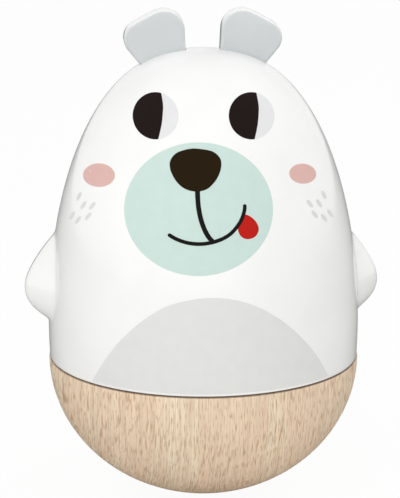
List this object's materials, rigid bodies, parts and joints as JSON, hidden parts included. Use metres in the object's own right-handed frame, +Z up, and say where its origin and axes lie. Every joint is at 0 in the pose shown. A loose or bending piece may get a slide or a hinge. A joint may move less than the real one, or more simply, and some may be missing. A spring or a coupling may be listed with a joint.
{
  "type": "musical roly-poly toy",
  "caption": "Egg-shaped roly-poly bear toy: a weighted turned-wood base that rights itself, a white two-part body with arms and flat ears, and a rod chime inside that rings as it rocks.",
  "frame": {"origin": "centre of the flat foot under the wooden base, which is the bottom centre of the bounding box", "axes": "+Z up along the axis of the body; the face looks along -Y, so the toy's own left is +X"},
  "size_m": [0.1122, 0.0974, 0.1516],
  "materials": {
    "white_body": "smooth satin white",
    "grey_ears": "smooth satin light grey",
    "beech": "turned, sanded and oiled",
    "ivory_plastic": "as moulded",
    "iron": "as cast, blackened",
    "steel": "bright",
    "zinc": "satin grey",
    "brass": "turned"
  },
  "bodies": {
    "toy": {"front_shell": "white_body", "rear_shell": "white_body", "left_ear": "grey_ears", "right_ear": "grey_ears", "wooden_base": "beech", "coupling_ring": "ivory_plastic", "counterweight": "iron", "ring_screw_1": "steel", "ring_screw_2": "steel", "ring_screw_3": "steel", "ring_screw_4": "steel", "plate_screw_1": "steel", "plate_screw_2": "steel", "plate_screw_3": "steel", "plate_screw_4": "steel", "bridge_screw_1": "steel", "bridge_screw_2": "steel", "chime_rod_1": "steel", "chime_rod_2": "steel", "chime_rod_3": "steel", "chime_rod_4": "steel", "chime_rod_5": "steel", "chime_rod_6": "steel", "chime_rod_7": "steel", "chime_rod_8": "steel", "chime_plate": "zinc", "chime_bridge": "zinc", "swivel_bush": "brass"},
    "swivel": {"swivel_stud": "brass", "swivel_clip": "steel", "hammer_pin": "steel"},
    "hammer": {"hammer_rod": "steel", "hammer_head": "beech", "hammer_nut": "brass"}
  },
  "joints": [
    {"name": "hammer_swivel", "type": "hinge", "parent": "toy", "child": "swivel", "pos_m": [0, 0, 0.103], "axis": [0, 0, 1], "continuous": true},
    {"name": "hammer_swing", "type": "hinge", "parent": "swivel", "child": "hammer", "pos_m": [0, 0, 0.103], "axis": [1, 0, 0], "range_deg": [-18.5, 18.5]}
  ]
}
